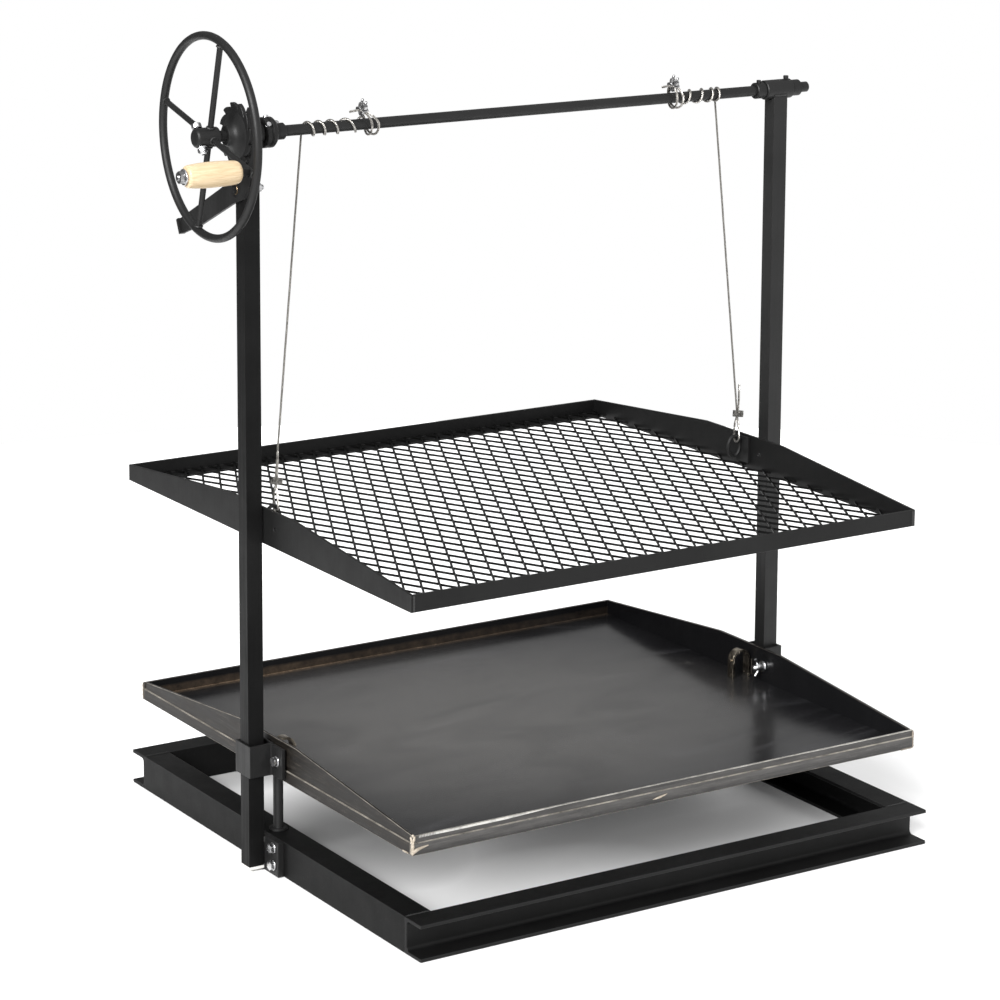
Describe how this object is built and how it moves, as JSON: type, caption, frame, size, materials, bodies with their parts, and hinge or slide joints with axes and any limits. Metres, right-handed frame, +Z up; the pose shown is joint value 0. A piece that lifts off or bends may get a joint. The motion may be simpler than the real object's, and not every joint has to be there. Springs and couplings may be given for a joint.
{
  "type": "hand-winched charcoal grill",
  "caption": "Open charcoal grill on a square steel base: a fire tray between two posts and a mesh grate hung on cables from a winch shaft with a hand wheel and ratchet.",
  "frame": {"origin": "centre of the square base frame, on the ground", "axes": "+Z up, +X along the winch shaft away from the hand wheel, +Y from the user's side to the back, with both posts in the plane y = 0"},
  "size_m": [1.155, 0.872, 1.2314],
  "materials": {
    "black_powder_coat": "satin powder coat",
    "raw_steel": "bare hot-rolled plate, brown heat tint at the welds",
    "bronze_strap": "dull",
    "zinc_hardware": "bright zinc plate",
    "wire_rope": "stranded",
    "pale_wood": "varnished",
    "pale_plastic": "matte"
  },
  "bodies": {
    "frame": {"base_front_channel": "black_powder_coat", "base_rear_channel": "black_powder_coat", "base_left_channel": "black_powder_coat", "base_right_channel": "black_powder_coat", "left_post": "black_powder_coat", "right_post": "black_powder_coat", "left_post_cap": "pale_plastic", "right_post_cap": "pale_plastic", "left_foot_plate": "black_powder_coat", "right_foot_plate": "black_powder_coat", "left_lower_foot_bolt": "zinc_hardware", "left_upper_foot_bolt": "zinc_hardware", "right_lower_foot_bolt": "zinc_hardware", "right_upper_foot_bolt": "zinc_hardware", "left_bearing_tube": "black_powder_coat", "right_bearing_tube": "black_powder_coat", "pawl_pivot_bolt": "zinc_hardware", "left_lift_cable": "wire_rope", "right_lift_cable": "wire_rope"},
    "tray": {"tray_floor": "raw_steel", "tray_front_wall": "raw_steel", "tray_rear_wall": "raw_steel", "tray_left_wall": "raw_steel", "tray_right_wall": "raw_steel", "left_slide_bracket": "black_powder_coat", "right_slide_bracket": "black_powder_coat", "left_tray_bolt": "zinc_hardware", "right_tray_bolt": "zinc_hardware", "left_tray_loop": "bronze_strap", "right_tray_loop": "bronze_strap", "left_tray_leg": "raw_steel", "right_tray_leg": "raw_steel"},
    "left_nut": {"left_wing_nut": "zinc_hardware"},
    "right_nut": {"right_wing_nut": "zinc_hardware"},
    "grate": {"grate_front_rail": "black_powder_coat", "grate_rear_rail": "black_powder_coat", "grate_left_wall": "black_powder_coat", "grate_right_wall": "black_powder_coat", "left_cable_lug": "black_powder_coat", "right_cable_lug": "black_powder_coat", "grate_mesh": "black_powder_coat", "left_cable_clip": "wire_rope", "right_cable_clip": "wire_rope"},
    "winch": {"winch_shaft": "black_powder_coat", "hub_through_bolt": "zinc_hardware", "wheel_rim": "black_powder_coat", "wheel_hub_and_spokes": "black_powder_coat", "grip_stud": "zinc_hardware", "ratchet_gear": "black_powder_coat", "left_shaft_collar": "black_powder_coat", "right_inner_collar": "black_powder_coat", "right_end_collar": "black_powder_coat", "left_cable_wraps": "wire_rope", "right_cable_wraps": "wire_rope", "left_cable_anchor": "wire_rope", "right_cable_anchor": "wire_rope"},
    "grip": {"wood_grip": "pale_wood"},
    "pawl": {"pawl_lever": "black_powder_coat"}
  },
  "joints": [
    {"name": "grate_lift", "type": "slide", "parent": "frame", "child": "grate", "axis": [0, 0, 1], "range_m": [-0.18567, 0.37134], "deforming": ["left_lift_cable", "right_lift_cable"]},
    {"name": "shaft_spin", "type": "hinge", "parent": "frame", "child": "winch", "pos_m": [0, 0, 1.0835], "axis": [1, 0, 0], "range_deg": [-1081, 2161]},
    {"name": "grip_spin", "type": "hinge", "parent": "winch", "child": "grip", "pos_m": [-0.58, -0.11863, 1.05216], "axis": [1, 0, 0], "continuous": true},
    {"name": "pawl_swing", "type": "hinge", "parent": "frame", "child": "pawl", "pos_m": [-0.479, 0, 1.006], "axis": [1, 0, 0], "range_deg": [0, 30]},
    {"name": "tray_lift", "type": "slide", "parent": "frame", "child": "tray", "axis": [0, 0, 1], "range_m": [0, 0.09]},
    {"name": "left_nut_spin", "type": "hinge", "parent": "tray", "child": "left_nut", "pos_m": [-0.421, -0.039, 0.172], "axis": [1, 0, 0], "continuous": true},
    {"name": "right_nut_spin", "type": "hinge", "parent": "tray", "child": "right_nut", "pos_m": [0.421, -0.039, 0.172], "axis": [1, 0, 0], "continuous": true}
  ],
  "couplings": [
    {"joint": "shaft_spin", "follows": "grate_lift", "rad_per_m": 101.52}
  ]
}
